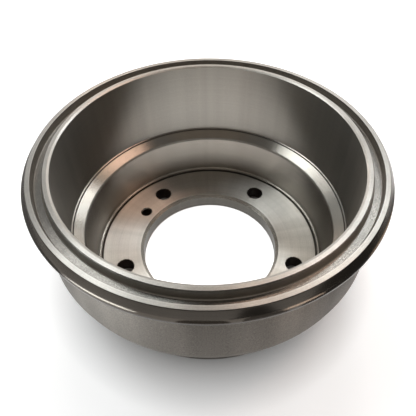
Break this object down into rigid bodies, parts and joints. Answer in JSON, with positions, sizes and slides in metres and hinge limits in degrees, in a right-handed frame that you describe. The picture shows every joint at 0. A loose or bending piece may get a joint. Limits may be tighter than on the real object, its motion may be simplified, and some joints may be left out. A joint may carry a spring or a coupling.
{
  "type": "brake drum",
  "caption": "Turned cast-iron brake drum with a double-lipped mouth, sloping web, deep hat, hub bore and wheel stud holes.",
  "frame": {"origin": "centre of the outer mounting face, at the bottom of the hat", "axes": "+Z along the axle line towards the open mouth; -Y points through one wheel stud hole"},
  "size_m": [0.3775, 0.3776, 0.175],
  "materials": {
    "cast_iron": "fine turned, bare metal"
  },
  "bodies": {
    "root": {"brake_drum": "cast_iron"}
  },
  "joints": []
}
